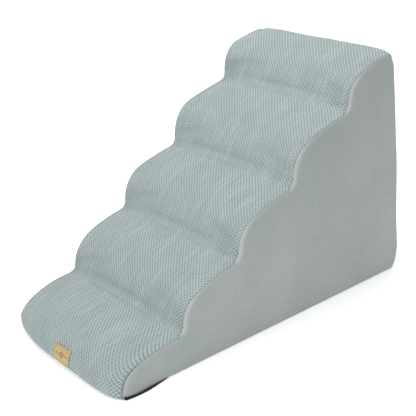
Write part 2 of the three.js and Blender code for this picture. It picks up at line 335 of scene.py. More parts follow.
def pressed_out(points, faces, held, pressure, stiffness=15.0, cap=10 * MM):
    """How far a panel's points move as the filling presses it out with its edge held, by cloth simulation."""
    mesh = bpy.data.meshes.new("sim")
    mesh.from_pydata(points.tolist(), [], np.asarray(faces).tolist())
    panel = bpy.data.objects.new("sim", mesh)
    bpy.context.collection.objects.link(panel)
    panel.vertex_groups.new(name="held").add([int(i) for i in held], 1.0, "REPLACE")
    cloth = panel.modifiers.new("cloth", "CLOTH")
    settings = cloth.settings
    settings.vertex_group_mass = "held"
    settings.use_pressure = True
    settings.uniform_pressure_force = pressure
    settings.effector_weights.gravity = 0
    settings.tension_stiffness = stiffness
    settings.compression_stiffness = stiffness
    settings.mass = 0.4
    cloth.point_cache.frame_end = 24
    for number in range(1, 21):
        bpy.context.scene.frame_set(number)
    shaped = panel.evaluated_get(bpy.context.evaluated_depsgraph_get()).to_mesh()
    moved = np.array([v.co for v in shaped.vertices]) - points
    bpy.data.objects.remove(panel)
    bpy.data.meshes.remove(mesh)
    bpy.context.scene.frame_set(1)
    size = np.linalg.norm(moved, axis=1)[:, None]
    return moved * (cap * np.tanh(size / cap) / np.maximum(size, 1e-9))


# ======== Materials ========
class Finish:
    """A material's node tree, with short ways to add to it."""

    def __init__(self, name, **settings):
        self.material = bpy.data.materials.new(name)
        self.material.use_nodes = True
        self.tree = self.material.node_tree
        self.shader = self.tree.nodes["Principled BSDF"]
        for key, value in settings.items():
            self.shader.inputs[key.replace("_", " ").title().replace("Ior", "IOR")].default_value = value

    def node(self, kind, *inputs, **named):
        """A new node. Inputs go by their order or, where a name has a capital, by name."""
        made = self.tree.nodes.new(kind)
        for key in (key for key in named if key.islower()):
            setattr(made, key, named[key])
        for key, value in [*enumerate(inputs), *named.items()]:
            if not str(key).islower():
                self.feed(value, made.inputs[key])
        return made

    def feed(self, value, socket):
        if value is None:
            return
        if isinstance(value, bpy.types.NodeSocket):
            self.tree.links.new(value, socket)
        else:
            socket.default_value = value

    def math(self, operation, a, b=None, c=None):
        return self.node("ShaderNodeMath", a, b, c, operation=operation).outputs[0]

    def wave(self, value, length):
        """A sine wave of this length along the value."""
        return self.math("SINE", self.math("MULTIPLY", value, 2 * math.pi / length))

    def ramp(self, value, low, high, to_low=0.0, to_high=1.0):
        return self.node("ShaderNodeMapRange", value, low, high, to_low, to_high,
                         interpolation_type="SMOOTHSTEP").outputs[0]

    def split(self, vector):
        return self.node("ShaderNodeSeparateXYZ", vector).outputs

    def mix(self, share, a, b):
        made = self.node("ShaderNodeMix", data_type="RGBA", Factor=share)
        for colour, socket in zip((a, b), [s for s in made.inputs if s.type == "RGBA"]):
            self.feed(colour, socket)
        return next(s for s in made.outputs if s.type == "RGBA")

    def attribute(self, name, output="Vector"):
        return self.node("ShaderNodeAttribute", attribute_name=name).outputs[output]

    def place(self):
        return self.node("ShaderNodeTexCoord").outputs["Object"]

    def stretched(self, vector, scale):
        return self.node("ShaderNodeMapping", Vector=vector, Scale=scale).outputs[0]

    def noise(self, vector, scale, detail=3.0, roughness=0.5):
        return self.node("ShaderNodeTexNoise", Vector=vector, Scale=scale, Detail=detail,
                         Roughness=roughness).outputs[0]

    def cells(self, vector, scale, feature="F1"):
        made = self.node("ShaderNodeTexVoronoi", feature=feature, Vector=vector, Scale=scale)
        return made.outputs["Distance"]

    def done(self, colour, roughness, height, depth, strength):
        """The finished material, with its colour, its roughness and its relief of that depth."""
        bump = self.node("ShaderNodeBump", Height=height, Distance=depth, Strength=strength)
        for key, value in (("Base Color", colour), ("Roughness", roughness), ("Normal", bump.outputs[0])):
            self.feed(value, self.shader.inputs[key])
        return self.material


def rgb(red, green, blue):
    """A colour in linear light from its usual 0 to 255 numbers."""
    values = [c / 255 for c in (red, green, blue)]
    return (*[c / 12.92 if c <= 0.04045 else ((c + 0.055) / 1.055) ** 2.4 for c in values], 1)


def textured_fabric():
    """Puffed knit: pale soft ridges round a staggered lattice of small pits darkened by painted shade, with
    fine yarn.
    """
    f = Finish("textured_fabric", sheen_weight=0.2, sheen_roughness=0.6, specular_ior_level=0.12)
    weave = f.attribute("weave")
    parts = f.split(weave)
    across = f.math("COSINE", f.math("MULTIPLY", parts[0], 2 * math.pi / WEAVE_X))
    along = f.math("COSINE", f.math("MULTIPLY", parts[1], 2 * math.pi / WEAVE_S))
    lattice = f.math("MULTIPLY", across, along)
    wobble = f.math("MULTIPLY", f.noise(weave, 220, 2.0), 0.5)
    pit = f.ramp(f.math("ADD", lattice, f.math("SUBTRACT", wobble, 0.25)), 0.05, 0.95)
    puff = f.ramp(f.math("MULTIPLY", lattice, -1.0), 0.1, 1.0)
    yarn = f.noise(f.stretched(weave, (1.0, 0.45, 1.0)), 1500, 3.0, 0.65)
    streak = f.noise(f.stretched(weave, (1.0, 0.12, 1.0)), 110, 3.0, 0.6)
    patch = f.noise(weave, 14, 2.0)
    body = f.mix(puff, rgb(152, 165, 165), rgb(181, 192, 191))
    pit_shade_amount = f.ramp(f.noise(weave, 26, 2.0), 0.35, 0.65, 0.65, 1.0)
    # painted shade: each pit is darkened for the shadow in it, by an amount that varies in soft patches
    body = f.mix(f.math("MULTIPLY", pit, pit_shade_amount), body, rgb(96, 113, 113))
    body = f.mix(f.ramp(streak, 0.45, 0.75, 0.0, 0.35), body, rgb(192, 201, 200))
    body = f.mix(f.ramp(patch, 0.4, 0.7, 0.0, 0.3), body, rgb(132, 148, 148))
    body = f.mix(f.ramp(yarn, 0.3, 0.7, 0.0, 0.3), body, rgb(140, 154, 154))
    height = f.math("ADD", f.math("MULTIPLY", pit, -1.0), f.math("MULTIPLY", yarn, 0.35))
    # painted shade: darker along the side seams and the rear edge
    colour = f.mix(f.attribute("seam", "Fac"), body, rgb(88, 100, 100))
    return f.done(colour, f.ramp(yarn, 0.2, 0.8, 0.88, 1.0), height, 0.8 * MM, 0.75)


def suede():
    """Short-napped suede cloth, with soft cloudy shading where the nap is brushed."""
    f = Finish("suede", sheen_weight=0.3, sheen_roughness=0.5, specular_ior_level=0.1)
    place = f.place()
    fine = f.noise(place, 1100, 4.0, 0.7)
    mottle = f.noise(place, 210, 4.0, 0.6)
    brushed = f.noise(f.stretched(place, (1.0, 1.0, 0.6)), 9, 3.0, 0.5)
    pale = rgb(158, 164, 163)
    body = f.mix(f.ramp(mottle, 0.35, 0.65), rgb(139, 147, 146), rgb(148, 155, 154))
    body = f.mix(f.ramp(brushed, 0.4, 0.7, 0.0, 0.4), body, pale)
    body = f.mix(f.ramp(fine, 0.3, 0.7, 0.0, 0.3), body, pale)
    # painted shade: the suede gets darker higher up and stays lighter near the floor
    body = f.mix(f.ramp(f.split(place)[2], 0.1, 0.45, 0.0, 0.35), body, rgb(118, 126, 125))
    # painted highlight: paler along the side panels' rolled edges
    body = f.mix(f.attribute("rub", "Fac"), body, rgb(202, 205, 202))
    # painted shade along the seams
    colour = f.mix(f.attribute("seam", "Fac"), body, rgb(92, 100, 99))
    height = f.math("ADD", fine, f.math("MULTIPLY", mottle, 0.8))
    return f.done(colour, f.ramp(mottle, 0.3, 0.7, 0.82, 0.95), height, 0.3 * MM, 0.5)


def base_cloth():
    """Black plain-woven base cloth."""
    f = Finish("base_cloth", sheen_weight=0.1, specular_ior_level=0.2)
    place = f.place()
    parts = f.split(place)
    threads = [f.wave(parts[i], 1.2 * MM) for i in (0, 1)]
    weave = f.math("MULTIPLY", *threads)
    dust = f.noise(place, 60, 4.0, 0.7)
    body = f.mix(f.ramp(weave, -1.0, 1.0), rgb(20, 26, 26), rgb(38, 46, 46))
    colour = f.mix(f.ramp(dust, 0.5, 0.8, 0.0, 0.25), body, rgb(66, 72, 71))
    return f.done(colour, f.ramp(dust, 0.3, 0.7, 0.75, 0.95), weave, 0.2 * MM, 0.6)


def grip_rubber():
    """The soft black dots printed under the base."""
    f = Finish("grip_rubber", specular_ior_level=0.35)
    grain = f.noise(f.place(), 900, 3.0, 0.6)
    colour = f.mix(f.ramp(grain, 0.3, 0.7), rgb(22, 26, 26), rgb(44, 50, 49))
    return f.done(colour, f.ramp(grain, 0.3, 0.7, 0.5, 0.7), grain, 0.1 * MM, 0.5)


def foam(name, pale, deep, pores):
    """Cut foam: fine open pores in a pale cream body."""
    f = Finish(name, specular_ior_level=0.08, sheen_weight=0.1)
    place = f.place()
    hole = f.ramp(f.cells(place, pores), 0.12, 0.5)
    tint = f.noise(place, 20, 3.0, 0.6)
    body = f.mix(hole, pale, deep)
    colour = f.mix(f.ramp(tint, 0.4, 0.7, 0.0, 0.3), body, rgb(225, 214, 184))
    return f.done(colour, f.ramp(tint, 0.3, 0.7, 0.92, 1.0), f.math("MULTIPLY", hole, -1.0), 0.6 * MM, 0.7)


def leatherette():
    """Tan grained leatherette with a printed lozenge between two short bars, inside a thin line."""
    f = Finish("leatherette", specular_ior_level=0.3, coat_weight=0.05, coat_roughness=0.4)
    patch = f.attribute("patch")
    parts = f.split(patch)
    x, y = (f.math("ABSOLUTE", part) for part in parts[:2])
    lozenge = f.math("ADD", f.math("DIVIDE", x, 9 * MM), f.math("DIVIDE", y, 8 * MM))
    bar = f.math("MULTIPLY",
                 f.ramp(f.math("ABSOLUTE", f.math("SUBTRACT", x, 16 * MM)), 4.2 * MM, 4.5 * MM, 1.0, 0.0),
                 f.ramp(y, 1.0 * MM, 1.3 * MM, 1.0, 0.0))
    ring = f.ramp(f.math("ABSOLUTE", f.math("SUBTRACT", lozenge, 0.8)), 0.16, 0.2, 1.0, 0.0)
    heart = f.ramp(lozenge, 0.3, 0.34, 1.0, 0.0)
    mark = f.math("MAXIMUM", f.math("MAXIMUM", bar, ring), heart)
    grain = f.cells(patch, 900, "SMOOTH_F1")
    tint = f.noise(patch, 90, 4.0, 0.6)
    body = f.mix(f.ramp(tint, 0.3, 0.7), rgb(184, 160, 108), rgb(200, 180, 132))
    body = f.mix(f.math("MULTIPLY", mark, 0.85), body, rgb(118, 92, 66))
    colour = f.mix(f.attribute("edge", "Fac"), body, rgb(132, 108, 74))
    height = f.math("SUBTRACT", grain, f.math("MULTIPLY", mark, 0.6))
    return f.done(colour, f.ramp(tint, 0.3, 0.7, 0.5, 0.68), height, 0.25 * MM, 0.5)


def thread(name, colour, twist=1.1 * MM):
    """Twisted sewing thread."""
    f = Finish(name, sheen_weight=0.2, specular_ior_level=0.3)
    place = f.place()
    parts = f.split(place)
    turn = f.wave(f.math("ADD", f.math("ADD", parts[0], parts[1]), parts[2]), twist)
    dark = (*[c * 0.6 for c in colour[:3]], 1)
    colour = f.mix(f.ramp(turn, -0.6, 0.6), dark, colour)
    return f.done(colour, f.ramp(turn, -1.0, 1.0, 0.75, 0.6), turn, 0.1 * MM, 0.6)


def satin():
    """White satin ribbon with a fine rib along it."""
    f = Finish("care_satin", sheen_weight=0.3, specular_ior_level=0.4, anisotropic=0.4)
    place = f.place()
    rib = f.wave(f.split(place)[0], 0.7 * MM)
    tint = f.noise(place, 60, 3.0, 0.6)
    body = f.mix(f.ramp(rib, -1.0, 1.0), rgb(222, 222, 217), rgb(243, 243, 240))
    colour = f.mix(f.ramp(tint, 0.45, 0.75, 0.0, 0.3), body, rgb(208, 208, 200))
    return f.done(colour, f.ramp(tint, 0.3, 0.7, 0.38, 0.55), rib, 0.08 * MM, 0.5)


def zip_tape():
    """Grey zip tape with a fine herringbone weave."""
    f = Finish("zip_tape", sheen_weight=0.2, specular_ior_level=0.2)
    place = f.place()
    parts = f.split(place)
    fold = f.math("PINGPONG", parts[0], 1.6 * MM)
    chevron = f.wave(f.math("ADD", fold, parts[2]), 0.9 * MM)
    lint = f.noise(place, 500, 3.0, 0.6)
    body = f.mix(f.ramp(chevron, -1.0, 1.0), rgb(118, 127, 125), rgb(150, 159, 157))
    colour = f.mix(f.ramp(lint, 0.5, 0.8, 0.0, 0.35), body, rgb(168, 175, 173))
    return f.done(colour, f.ramp(lint, 0.3, 0.7, 0.8, 0.95), chevron, 0.15 * MM, 0.6)


def coil_nylon():
    """Slightly glossy grey nylon."""
    f = Finish("zip_coil", specular_ior_level=0.5)
    tint = f.noise(f.place(), 260, 3.0, 0.6)
    colour = f.mix(f.ramp(tint, 0.3, 0.7), rgb(146, 155, 153), rgb(170, 178, 176))
    return f.done(colour, f.ramp(tint, 0.3, 0.7, 0.3, 0.48), tint, 0.05 * MM, 0.4)


def zip_metal():
    """Satin nickel with fine polishing lines and a few rubbed spots."""
    f = Finish("zip_metal", metallic=1.0, specular_ior_level=0.5, anisotropic=0.4)
    place = f.place()
    lines = f.noise(f.stretched(place, (0.05, 1.0, 1.0)), 2200, 3.0, 0.6)
    wear_and_painted_highlight = f.noise(place, 240, 4.0, 0.6)
    body = f.mix(f.ramp(lines, 0.3, 0.7), rgb(168, 170, 172), rgb(196, 197, 198))
    colour = f.mix(f.ramp(wear_and_painted_highlight, 0.5, 0.75, 0.0, 0.5), body, rgb(150, 148, 144))
    return f.done(colour, f.ramp(wear_and_painted_highlight, 0.3, 0.7, 0.24, 0.42), lines, 0.04 * MM, 0.5)


# ======== The cover's top ========
LINE = step_line()


def wrap_of(normals, y):
    """How far the suede wraps round the corner onto the front: all of it on risers, none on treads."""
    steep = smoothstep(0.2, 0.8, -normals[:, 0])
    return steep * np.where(y < 0.5 * STEP_RUNS[0], 0.35, 1.0)


class Top:
    """The textured panel's smooth surface: lines across the width, spaced along the steps."""

    def __init__(self):
        fine = rounded_rear(LINE, REAR_ROLL)
        total = lengths_along(fine)[-1]
        spacing = WEAVE_S / CELLS_PER_PERIOD
        self.along = np.arange(int(total / spacing) + 1) * spacing
        self.line = sampled(fine, self.along)
        wide = sampled(fine, np.clip(self.along[:, None] + np.array([-3 * MM, 3 * MM]), 0, total).ravel())
        tangent = unit(wide[1::2] - wide[::2])
        self.normal = np.stack([-tangent[:, 1], tangent[:, 0]], 1)
        self.wrap = wrap_of(self.normal, self.line[:, 0])
        self.seam_x = SIDE_X - SEAM_IN - WRAP_IN * self.wrap
        pitch = WEAVE_X / CELLS_PER_PERIOD
        inner = np.arange(-HALF_COLUMNS, HALF_COLUMNS + 1) * pitch
        beyond = self.seam_x[:, None] - inner[-1]
        shares = np.array([0.35, 0.65, 0.85, 1.0])
        right = inner[-1] + beyond * shares
        self.x = np.concatenate([-right[:, ::-1], np.repeat(inner[None], len(self.along), 0), right], 1)
        self.move = self.swell()
        self.move += self.bridged()
        self.points, self.out = self.surface()

    def swell(self):
        """The panel pressed out by the foam between its side seams."""
        rows = np.linspace(0, self.along[-1], SWELL_ROWS)
        columns = np.linspace(-1, 1, SWELL_COLUMNS)
        line = sampled(self.line, rows)
        points = placed(SIDE_X * columns[None] * np.ones((SWELL_ROWS, 1)), line[:, :1], line[:, 1:])
        held = [r * SWELL_COLUMNS + c for r in range(SWELL_ROWS) for c in range(SWELL_COLUMNS)
                if c in (0, SWELL_COLUMNS - 1) or r in (0, SWELL_ROWS - 1)]
        faces = grid_faces(SWELL_ROWS, SWELL_COLUMNS)
        moved = pressed_out(points.reshape(-1, 3), faces, held, TOP_PRESSURE, cap=TOP_CAP)
        moved = moved.reshape(points.shape)
        finer = np.stack([read_between(self.along, rows, moved[:, c]) for c in range(SWELL_COLUMNS)], 1)
        shares = self.x / self.seam_x[:, None]
        result = np.stack([read_between(share, columns, row) for share, row in zip(shares, finer)])
        return blurred(result, 6)

    def bridged(self):
        """The cover spans each valley in a soft curve between the seams, where it is pulled tight."""
        spacing = self.along[1]
        reach = int(3 * BRIDGING / spacing)
        weight = np.exp(-(np.arange(-reach, reach + 1) * spacing / BRIDGING) ** 2)
        points = self.surface()[0]
        before = 2 * points[:1] - points[reach:0:-1]
        beyond = 2 * points[-1:] - points[-2:-reach - 2:-1]
        padded = np.concatenate([before, points, beyond])
        smooth = np.zeros(points.shape)
        for step, part in enumerate(weight / weight.sum()):
            smooth += part * padded[step:step + len(points)]
        gap = smooth - points
        rise = np.maximum(gap[..., 1] * self.normal[:, :1] + gap[..., 2] * self.normal[:, 1:], 0)
        ends = smoothstep(0, 60 * MM, self.along) * smoothstep(0, 60 * MM, self.along[-1] - self.along)
        share = 1 - (np.abs(self.x) / self.seam_x[:, None]) ** 3
        amount = rise * ends[:, None] * share
        return np.stack([0 * amount, amount * self.normal[:, :1], amount * self.normal[:, 1:]], -1)

    def surface(self):
        """Every point of the smooth crowned surface, and its outward direction."""
        points = placed(self.x, self.line[:, :1], self.line[:, 1:]) + self.move
        along = np.gradient(points, axis=0)
        across = np.gradient(points, axis=1)
        return points, unit(np.cross(across, along))

    def at(self, values, x, along):
        """One of the surface's grids of values, read between its points at these places."""
        edge_columns = self.x.shape[1] // 2 - HALF_COLUMNS
        row = np.clip(along / self.along[1], 0, len(self.along) - 1.001)
        column = x / (WEAVE_X / CELLS_PER_PERIOD) + HALF_COLUMNS
        column = np.clip(column, 0, 2 * HALF_COLUMNS - 0.001) + edge_columns
        r, c = row.astype(int), column.astype(int)
        u, v = (row - r)[..., None], (column - c)[..., None]
        near = values[r, c] * (1 - v) + values[r, c + 1] * v
        far = values[r + 1, c] * (1 - v) + values[r + 1, c + 1] * v
        return near * (1 - u) + far * u

    def lifted(self, x, along, lift):
        """Points of the crowned surface at these places, moved out by the lift."""
        return self.at(self.points, x, along) + self.at(self.out, x, along) * np.asarray(lift)[..., None]


def valley_places(line, along):
    """How far along the line each valley between two steps lies."""
    return [along[np.linalg.norm(line - corner, axis=1).argmin()] for corner in VALLEYS]


def creases(top, edge):
    """Soft dents that run in from each seam where a riser meets a tread."""
    depth = np.zeros(top.x.shape)
    side = np.where(top.x > 0, 1.0, 2.0)
    dents = ((-9 * MM, 34 * MM, 0.8), (6 * MM, 48 * MM, 1.0), (19 * MM, 30 * MM, 0.6))
    for number, valley in enumerate(valley_places(top.line, top.along)):
        for offset, reach, strength in dents:
            slant = 0.22 * np.sin(3 * number + 1.7 * side + offset / MM)
            from_crease = top.along[:, None] - valley - offset - slant * edge
            fade = np.exp(-((edge - 12 * MM) / reach) ** 2)
            depth += strength * CREASE * fade * np.exp(-(from_crease / (5 * MM)) ** 2)
    return depth


def top_cover(top, material):
    edge = top.seam_x[:, None] - np.abs(top.x)
    to_end = top.along[-1] - top.along[:, None]
    lattice = np.cos(2 * np.pi * top.x / WEAVE_X) * np.cos(2 * np.pi * top.along[:, None] / WEAVE_S)
    relief = RELIEF * (0.3 * (1 - lattice) - smoothstep(0.2, 1.0, lattice))
    relief *= smoothstep(1 * MM, 6 * MM, edge) * smoothstep(4 * MM, 16 * MM, top.along)[:, None]
    drop = SEAM_DEPTH * (1 - smoothstep(-1 * MM, 6 * MM, edge))
    drop = drop + 0.9 * MM * (1 - smoothstep(0, 16 * MM, edge))
    drop = np.where(top.x > 0, drop, 0.35 * drop - LEFT_FULLNESS * (1 - smoothstep(0, 60 * MM, edge)))
    drop = np.maximum(drop, SEAM_DEPTH * (1 - smoothstep(0, 5 * MM, to_end)))
    flat = top.points.reshape(-1, 3)
    dents = cloudy(flat, 90 * MM, 1) * 1.5 * MM + cloudy(flat, 32 * MM, 2) * 0.5 * MM
    dents = dents.reshape(edge.shape) * smoothstep(0, 30 * MM, edge) - creases(top, edge)
    points = top.points + top.out * (relief - drop + dents)[..., None]
    inward = -np.sign(top.x[:, [0, -1]])[..., None] * np.array([1.5 * MM, 0, 0])
    tucked = points[:, [0, -1]] - top.out[:, [0, -1]] * ALLOWANCE + inward
    points = np.concatenate([tucked[:, :1], points, tucked[:, 1:]], 1)
    points = np.concatenate([points, points[-1:] - np.array([0, 4 * MM, 2 * MM])])
    weave = np.stack(np.broadcast_arrays(top.x, top.along[:, None], 0 * top.x), -1)
    # painted shade along the side seams and the rear edge, stronger on the right side
    dark = np.where(top.x > 0, 0.3, 0.15) * (1 - smoothstep(0, 2.2 * MM, np.minimum(edge, to_end)))
    weave = np.pad(weave, ((0, 1), (1, 1), (0, 0)), "edge")
    dark = np.pad(dark, ((0, 1), (1, 1)), "edge")
    obj = mesh_object("top_cover", points, grid_faces(*dark.shape), material,
                      weave=weave.reshape(-1, 3), seam=dark.ravel())
    finished(obj, "ramp", "textured_fabric", "top_panel")


# ======== The cover's sides ========
def side_loop():
    """A side panel's closed outline, evenly spaced, with the roll of its edge and how far it wraps."""
    wave = rounded_rear(LINE, REAR_ROLL)
    wave = wave[wave[:, 1] > RIM_RISE]
    heel = arc((LENGTH - HEEL_RADIUS, HEEL_RADIUS + LIFT), HEEL_RADIUS, 0, -90)
    front = wave[0]
    share = np.linspace(0, 0.94, 12)[:, None]
    drawn_up = np.array([RIM_END, LIFT]) * (1 - share) + front * share
    drawn_up[:, 1] = LIFT + (front[1] - LIFT) * share[:, 0] ** 2
    outline = np.concatenate([wave, heel, drawn_up])
    outline = np.concatenate([outline, outline[:1]])
    total = lengths_along(outline)[-1]
    count = int(total / (3 * MM))
    loop = sampled(outline, np.arange(count) * total / count)
    normal = outward(loop, closed=True)
    on_steps = (np.arange(count) * total / count) < lengths_along(wave)[-1] - REAR_ROLL
    wrap = np.where(on_steps, wrap_of(normal, loop[:, 0]), 0.0)
    roll = np.where(on_steps, (3 + 9 * wrap) * MM, 5 * MM)
    roll = np.where(normal[:, 1] < -0.8, 1.6 * MM, roll)
    for _ in range(6):
        roll = (np.roll(roll, 1) + 2 * roll + np.roll(roll, -1)) / 4
        normal = unit(np.roll(normal, 1, 0) + 2 * normal + np.roll(normal, -1, 0))
    return loop, normal, roll, wrap


def inside(points, loop):
    """Which points are inside a closed line."""
    y, z = points[:, 0], points[:, 1]
    hit = np.zeros(len(points), bool)
    for a, b in zip(loop, np.roll(loop, -1, 0)):
        crosses = (a[1] > z) != (b[1] > z)
        at = (b[0] - a[0]) * (z - a[1]) / (b[1] - a[1] + 1e-12) + a[0]
        hit ^= crosses & (y < at)
    return hit


def gaps(points, targets):
    """The distances from points to targets, about 2000 points at a time."""
    for chunk in np.array_split(points, max(1, len(points) // 2000)):
        yield np.linalg.norm(chunk[:, None] - targets[None], axis=2)


def nearest(points, targets):
    """For each point, the nearest target's number and its distance."""
    found = [(gap.argmin(1), gap.min(1)) for gap in gaps(points, targets)]
    return [np.concatenate(values) for values in zip(*found)]


def filled(rings, spacing):
    """A flat mesh of nested rings with its middle filled by evenly spaced points: points and faces."""
    inner = rings[-1]
    low, high = inner.min(0), inner.max(0)
    grid = np.stack(np.meshgrid(np.arange(low[0], high[0], spacing), np.arange(low[1], high[1], spacing)), -1)
    grid = grid.reshape(-1, 2)
    grid[:, 0] += (np.round((grid[:, 1] - low[1]) / spacing) % 2) * spacing / 2
    grid = grid[inside(grid, inner)]
    grid = grid[nearest(grid, inner)[1] > 0.6 * spacing]
    count = len(inner)
    start = count * (len(rings) - 1)
    flat = [Vector(p) for p in np.concatenate([inner, grid])]
    edges = [(i, (i + 1) % count) for i in range(count)]
    made = delaunay_2d_cdt(flat, edges, [], 1, 1e-7)
    points = np.concatenate([*rings[:-1], np.array([tuple(v) for v in made[0]])])
    faces = [[start + i for i in face] for face in made[2]]
    for ring in range(len(rings) - 1):
        faces += band_faces(ring * count, (ring + 1) * count, count)
    return points, faces


def evened(targets, sources, values, reach):
    """Values given at scattered points, blended smoothly at other points."""
    weights = (np.exp(-(gap / reach) ** 2) for gap in gaps(targets, sources))
    return np.concatenate([(weight @ values) / weight.sum(1) for weight in weights])


def puckers(points):
    """Short soft wrinkles in the suede, fanning down from just below each valley's seam."""
    height = np.zeros(len(points))
    for number, valley in enumerate(VALLEYS):
        offset = points - (valley + np.array([4 * MM, -8 * MM]))
        reach = np.linalg.norm(offset, axis=1)
        angle = np.degrees(np.arctan2(offset[:, 1], offset[:, 0]))
        for ray, strength in ((-100, 0.7), (-82, 1.0), (-64, 0.8), (-48, 0.4)):
            tilt = ray + 5 * math.sin(2.7 * number + ray)
            wide = np.abs((angle - tilt + 180) % 360 - 180)
            fade = np.exp(-((reach - 9 * MM) / (15 * MM)) ** 2)
            height += strength * PUCKER * fade * np.exp(-(wide / 6) ** 2)
    return height


class Side:
    """A side panel laid flat: nested rings round its sewn edge, and a filled middle."""

    def __init__(self):
        loop, normal, roll, wrap = side_loop()
        seam = SEAM_IN + WRAP_IN * wrap
        start = roll - np.sqrt(roll ** 2 - (roll - seam) ** 2)
        rings = [loop - normal * (start + SEAM_DEPTH + 3 * MM)[:, None],
                 loop - normal * (start + SEAM_DEPTH)[:, None]]
        sunk = [seam + 4 * MM, seam]
        for share in (0.08, 0.25, 0.5, 0.75, 1.0):
            depth = start + (roll - start) * share
            rings.append(loop - normal * depth[:, None])
            sunk.append(roll - np.sqrt(roll ** 2 - (roll - depth) ** 2))
        self.points, self.faces = filled(rings, SIDE_SPACING)
        rest = len(self.points) - len(loop) * len(rings)
        self.sunk = np.concatenate([*sunk, np.zeros(rest)])
        # painted shade on the outer rings, where the edge turns in at the seam
        ring_seam_shade = [1.0, 1.0, 0.35] + [0.0] * (len(rings) - 3)
        self.seam = np.concatenate([np.repeat(ring_seam_shade, len(loop)), np.zeros(rest)])
        index, self.depth = nearest(self.points, loop)
        # painted highlight: a paler strip on the rolled edge just inside the seam, widest and brightest where
        # the suede wraps round a riser
        wear_and_painted_highlight = np.where(self.points[:, 1] > 12 * MM, 0.1 + 0.35 * wrap[index], 0.0)
        wear_and_painted_highlight = np.where(LENGTH - self.points[:, 0] > 12 * MM, wear_and_painted_highlight, 0.0)
        self.outward = normal[index]
        self.rub = wear_and_painted_highlight * np.exp(-((self.depth - 3 * MM) / ((2 + 3 * wrap[index]) * MM)) ** 2)
        self.bulge = self.swell(loop)

    def swell(self, loop):
        """How far the foam presses the panel outwards."""
        coarse = loop[::4]
        points, faces = filled([coarse], 13 * MM)
        solid = placed(SIDE_X, points[:, 0], points[:, 1])
        moved = pressed_out(solid, faces, range(len(coarse)), SIDE_PRESSURE, cap=SIDE_CAP)
        return evened(self.points, points, moved[:, 0], 12 * MM) * smoothstep(0, 40 * MM, self.depth)


def side_panel(side, name, sign, seed, material):
    flat = in_row(SIDE_X, side.points[:, 0], side.points[:, 1])
    inner = smoothstep(2 * MM, 25 * MM, side.depth)
    soft = cloudy(flat, 110 * MM, seed) * 0.9 * MM + cloudy(flat, 45 * MM, seed + 1) * 0.25 * MM
    out = side.bulge - side.sunk + soft * inner + puckers(side.points)
    fuller = side.outward * (0 if sign > 0 else LEFT_FULLNESS)
    fuller = fuller * (1 - smoothstep(0, 30 * MM, side.depth))[:, None]
    place = side.points + fuller * (side.points[:, 1:] > 20 * MM)
    points = placed(sign * (SIDE_X + np.minimum(out, 0)), place[:, 0], place[:, 1])
    points[:, 0] += sign * np.maximum(out, 0)
    faces = side.faces if sign > 0 else [face[::-1] for face in side.faces]
    # painted shade along the seams, stronger on the right side
    seam = side.seam * (0.4 if sign > 0 else 0.15)
    obj = mesh_object(name, points, faces, material, seam=seam, rub=side.rub)
    finished(obj, "ramp", "suede", f"{name}_panel")


# ======== The base ========
def base_sheet(material):
    """The black base cloth; beside each front corner it spreads out and stands up to the suede's edge."""
    inner = np.linspace(-BASE_HALF, BASE_HALF, 65)
    y = np.linspace(NOSE_TUCK + 0.8 * MM, BASE_END, 181)[:, None]
    swing = np.clip((y + 12 * MM) / (112 * MM), 0, 1)
    flare = BASE_FLARE * np.sin(math.pi * swing)
    rim = RIM_RISE * np.clip(1 - y / RIM_END, 0, 1) ** 2 * (y < RIM_END)
    columns = [(np.full(y.shape, x), np.full(y.shape, BASE_Z)) for x in inner]
    for x, spread, low, up in BASE_EDGE:
        place, height = x + spread * flare, low + up * rim
        columns = [(-place, height), *columns, (place, height)]
    x = np.concatenate([column[0] for column in columns], 1)
    z = np.concatenate([column[1] for column in columns], 1)
    points = placed(x, y + 0 * x, z).reshape(-1, 3)
    wave = cloudy(points, 60 * MM, 5) * 0.25 * MM * (np.abs(x.ravel()) < BASE_HALF)
    points[:, 2] += wave
    obj = mesh_object("base_sheet", points, grid_faces(*x.shape)[:, ::-1], material)
    finished(obj, "ramp", "base_fabric", "base_panel")


def base_dots(material):
    """Soft grip dots under the base, in staggered rows; they are what the ramp stands on."""
    turns = np.arange(8) * math.pi / 4
    cap = [(0, 0, 0)]
    for share, height in ((0.6, 0.25), (1.0, 1.0)):
        radius = DOT_RADIUS * share
        cap += [(radius * math.cos(a), radius * math.sin(a), BASE_Z * height) for a in turns]
    cap_faces = [[0, 1 + (i + 1) % 8, 1 + i] for i in range(8)] + band_faces(9, 1, 8)
    points, faces = [], []
    for row in range(int((BASE_END - 30 * MM) / DOT_PITCH)):
        y = 24 * MM + row * DOT_PITCH
        for column in range(-14, 15):
            x = (column + 0.5 * (row % 2)) * DOT_PITCH
            start = len(points)
            points += [tuple(placed(x, y, 0.0) + np.array(p)) for p in cap]
            faces += [[start + i for i in face] for face in cap_faces]
    obj = mesh_object("base_dots", points, faces, material)
    finished(obj, "ramp", "base_fabric")


# ======== The back, in two panels with the zip's window between them ========
def hem_height(x, sign):
    """The height of a panel's folded edge: the window closes to a point at both ends."""
    shut = smoothstep(WINDOW_OPEN, WINDOW_SHUT, np.abs(x))
    return ZIP_Z + sign * (ZIP_WINDOW * (1 - shut) + 0.2 * MM)


